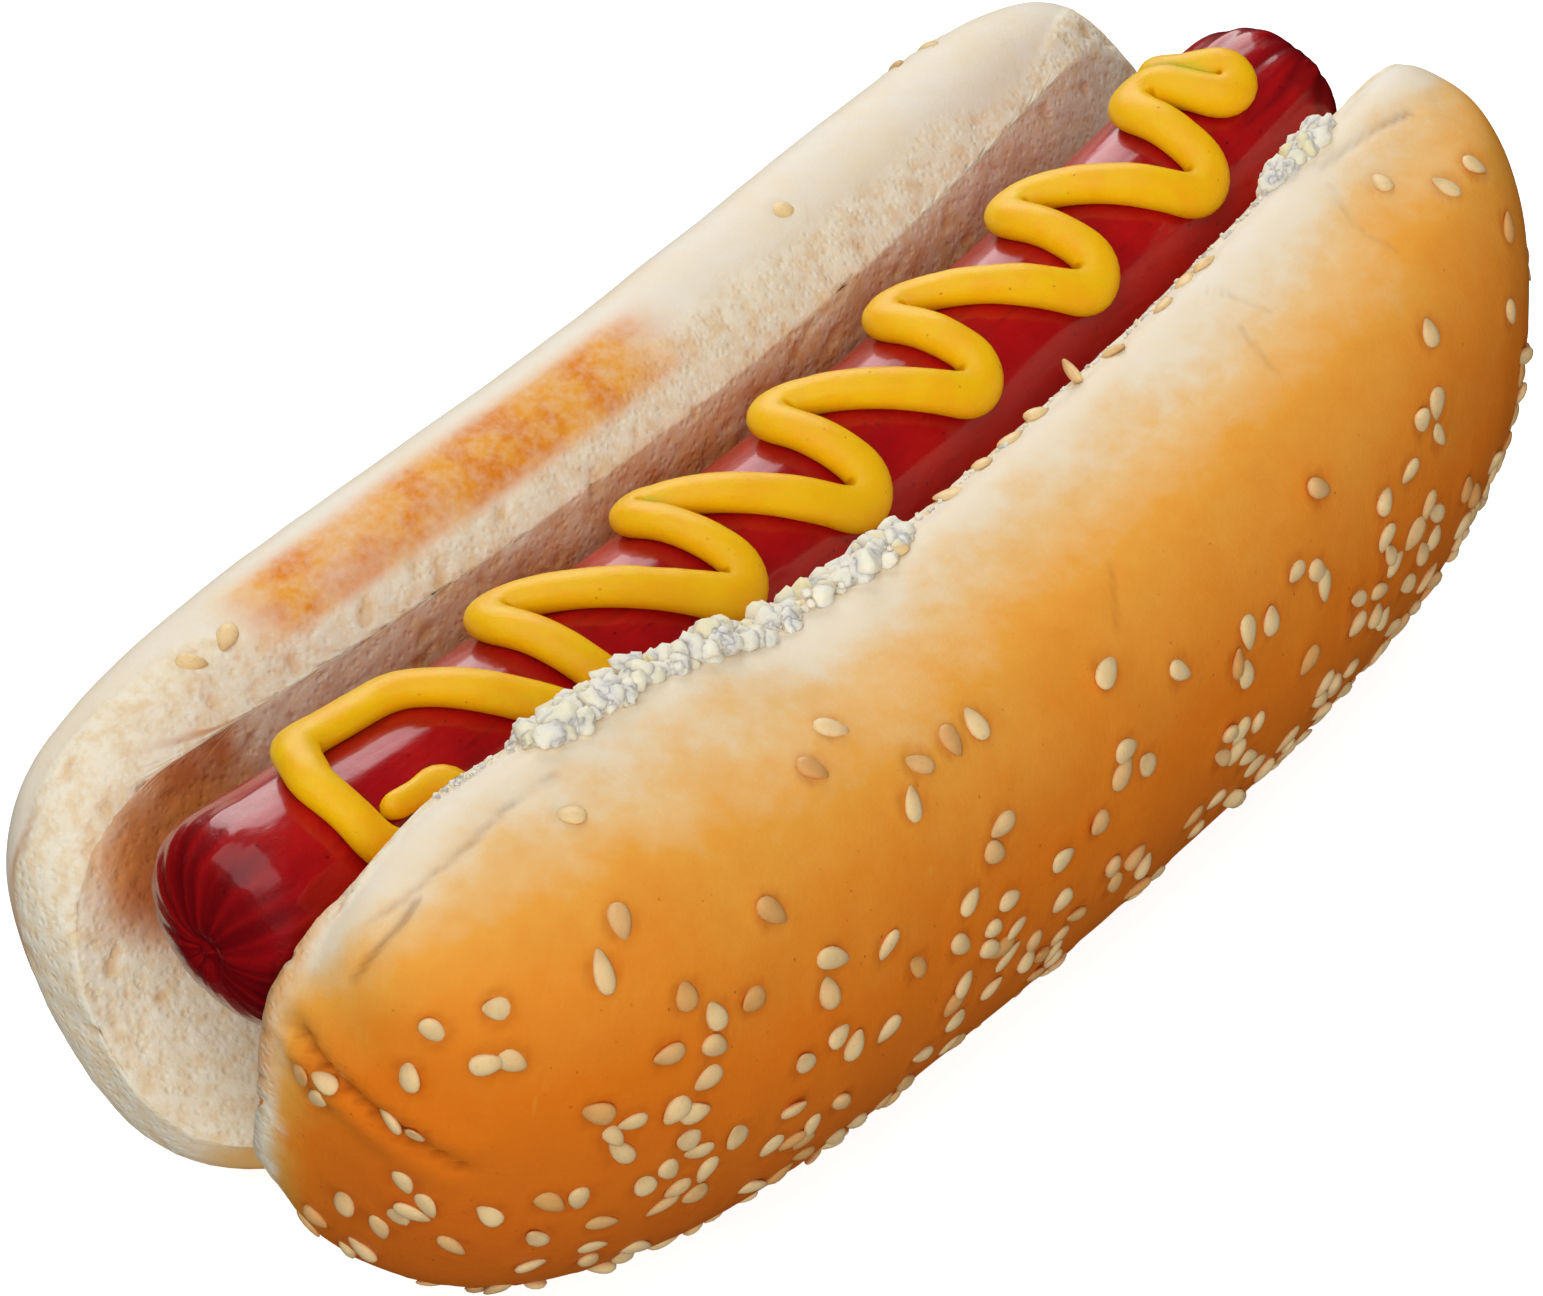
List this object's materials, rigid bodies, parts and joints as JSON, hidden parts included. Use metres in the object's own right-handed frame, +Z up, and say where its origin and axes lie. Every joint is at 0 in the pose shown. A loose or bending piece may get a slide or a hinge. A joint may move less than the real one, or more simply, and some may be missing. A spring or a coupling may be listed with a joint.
{
  "type": "hot dog",
  "caption": "Hot dog: smoked sausage in a hinged sesame bun with a zigzag of mustard along its top, resting upright on the bun's base.",
  "frame": {"origin": "on the surface it stands on, under the middle of the whole object's box", "axes": "+X along the sausage, +Y towards the pale, unseeded half of the bun, +Z up"},
  "size_m": [0.163, 0.079, 0.0581],
  "materials": {
    "bread": "baked crust, satin, golden to pale, over white crumb",
    "sausage_skin": "moist smoked casing, glossy dark red",
    "mustard_sauce": "smooth yellow mustard, satin"
  },
  "bodies": {
    "root": {"bun": "bread", "sausage": "sausage_skin", "mustard": "mustard_sauce"}
  },
  "joints": []
}
